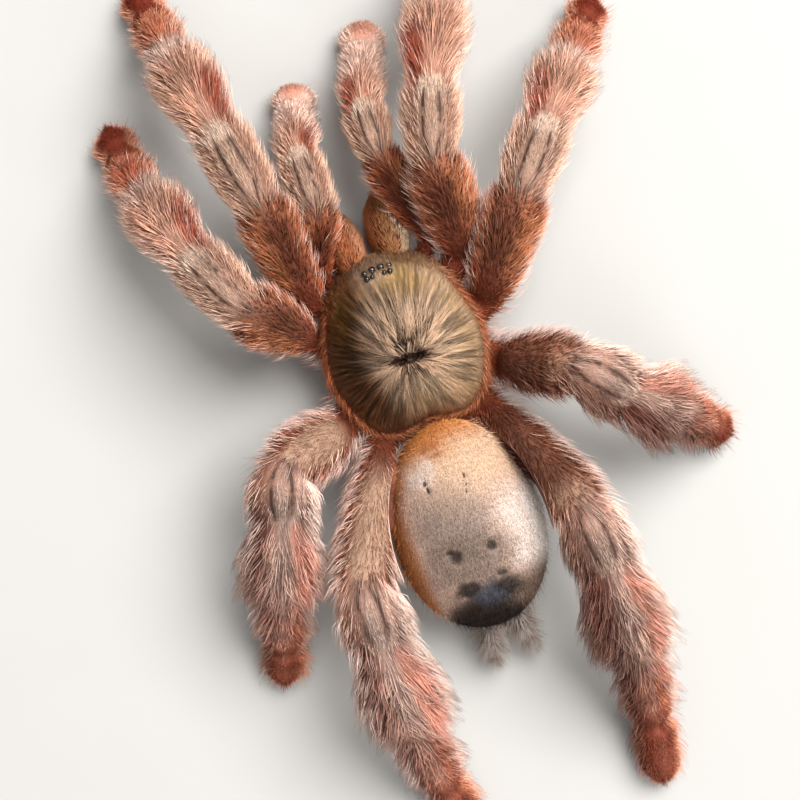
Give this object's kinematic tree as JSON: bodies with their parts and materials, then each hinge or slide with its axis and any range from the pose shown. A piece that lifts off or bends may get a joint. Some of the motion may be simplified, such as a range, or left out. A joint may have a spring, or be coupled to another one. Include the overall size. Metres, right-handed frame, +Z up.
{
  "type": "tarantula",
  "caption": "Life-size still model of a tree-living tarantula resting with its hairy legs spread, built from separate body parts and leg segments.",
  "frame": {"origin": "middle of the bounding box at floor level", "axes": "+Z up, head towards -Y, the animal's left side towards +X"},
  "size_m": [0.0542, 0.092, 0.016],
  "materials": {
    "carapace": "domed plate under short golden hair in rows, satin",
    "abdomen": "thin skin under short velvet hair, matte",
    "sternum": "smooth dark plate with a thin coat, satin",
    "chelicera": "short flat golden hair, soft sheen",
    "fang": "smooth dark horn, glossy",
    "eye": "dark clear lens, glossy",
    "body_hair": "red-brown hair, matte",
    "femur_hair": "dark red-brown hair with orange sides, matte",
    "patella_hair": "cream hair with two bare stripes, matte",
    "tibia_hair": "pink-brown hair with long pale tips, matte",
    "foot_hair": "dense short orange-red hair, soft"
  },
  "bodies": {
    "root": {"eyes_left": "eye", "eyes_right": "eye", "carapace": "carapace", "abdomen": "abdomen", "sternum": "sternum", "pedicel": "body_hair", "chelicera_left": "chelicera", "fang_left": "fang", "spinneret_left": "abdomen", "chelicera_right": "chelicera", "fang_right": "fang", "spinneret_right": "abdomen", "palp_left_coxa": "body_hair", "palp_left_femur": "femur_hair", "palp_left_patella": "patella_hair", "palp_left_tibia": "tibia_hair", "palp_right_coxa": "body_hair", "palp_right_femur": "femur_hair", "palp_right_patella": "patella_hair", "palp_right_tibia": "tibia_hair", "leg_left_1_coxa": "body_hair", "leg_left_1_femur": "femur_hair", "leg_left_1_patella": "patella_hair", "leg_left_1_tibia": "tibia_hair", "leg_left_1_foot": "foot_hair", "leg_left_2_coxa": "body_hair", "leg_left_2_femur": "femur_hair", "leg_left_2_patella": "patella_hair", "leg_left_2_tibia": "tibia_hair", "leg_left_2_foot": "foot_hair", "leg_left_3_coxa": "body_hair", "leg_left_3_femur": "femur_hair", "leg_left_3_patella": "patella_hair", "leg_left_3_tibia": "tibia_hair", "leg_left_3_foot": "foot_hair", "leg_left_4_coxa": "body_hair", "leg_left_4_femur": "femur_hair", "leg_left_4_patella": "patella_hair", "leg_left_4_tibia": "tibia_hair", "leg_left_4_foot": "foot_hair", "leg_right_1_coxa": "body_hair", "leg_right_1_femur": "femur_hair", "leg_right_1_patella": "patella_hair", "leg_right_1_tibia": "tibia_hair", "leg_right_1_foot": "foot_hair", "leg_right_2_coxa": "body_hair", "leg_right_2_femur": "femur_hair", "leg_right_2_patella": "patella_hair", "leg_right_2_tibia": "tibia_hair", "leg_right_2_foot": "foot_hair", "leg_right_3_coxa": "body_hair", "leg_right_3_femur": "femur_hair", "leg_right_3_patella": "patella_hair", "leg_right_3_tibia": "tibia_hair", "leg_right_3_foot": "foot_hair", "leg_right_4_coxa": "body_hair", "leg_right_4_femur": "femur_hair", "leg_right_4_patella": "patella_hair", "leg_right_4_tibia": "tibia_hair", "leg_right_4_foot": "foot_hair"}
  },
  "joints": []
}
